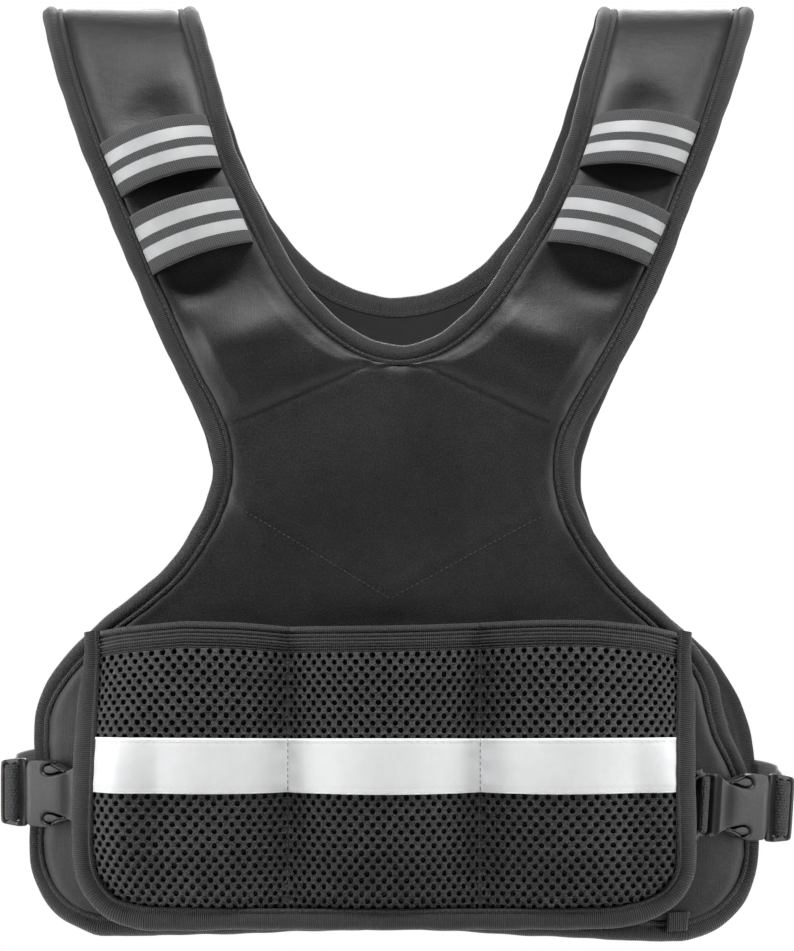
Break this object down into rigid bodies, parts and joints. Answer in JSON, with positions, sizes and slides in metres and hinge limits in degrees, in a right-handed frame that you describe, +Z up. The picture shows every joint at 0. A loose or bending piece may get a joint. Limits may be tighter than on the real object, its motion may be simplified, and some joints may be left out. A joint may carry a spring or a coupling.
{
  "type": "weighted vest",
  "caption": "Padded sleeveless vest in its worn form, with mesh weight pockets across the front, striped elastic shoulder bands, bound edges and side-release buckles at both sides.",
  "frame": {"origin": "midway between the two shoulder straps, at the top of their inner faces, where the shoulders carry the vest", "axes": "+Z up, the front with the pockets faces -Y, +X to the right as seen from the front"},
  "size_m": [0.4253, 0.2486, 0.5057],
  "materials": {
    "neoprene": "matt knitted face",
    "binding": "ribbed satin",
    "air_mesh": "matt open mesh",
    "elastic": "ridged satin",
    "shoulder_band": "woven, with pale stripes",
    "reflective": "satin reflective tape",
    "plastic": "satin",
    "webbing": "woven"
  },
  "bodies": {
    "root": {"front_panel": "neoprene", "back_panel": "neoprene", "edge_binding_front_left": "binding", "edge_binding_front_right": "binding", "edge_binding_back_left": "binding", "edge_binding_back_right": "binding", "neck_binding_front": "binding", "neck_binding_back": "binding", "pocket_mesh": "air_mesh", "pocket_elastic": "elastic", "reflective_strip": "reflective", "pocket_binding": "binding", "shoulder_band_left_upper": "shoulder_band", "shoulder_band_left_lower": "shoulder_band", "shoulder_band_right_upper": "shoulder_band", "shoulder_band_right_lower": "shoulder_band", "buckle_female_left": "plastic", "buckle_female_right": "plastic", "buckle_male_left": "plastic", "buckle_male_right": "plastic", "front_webbing_left": "webbing", "front_webbing_right": "webbing", "side_webbing_left": "webbing", "side_webbing_right": "webbing", "corner_tab": "webbing"}
  },
  "joints": []
}
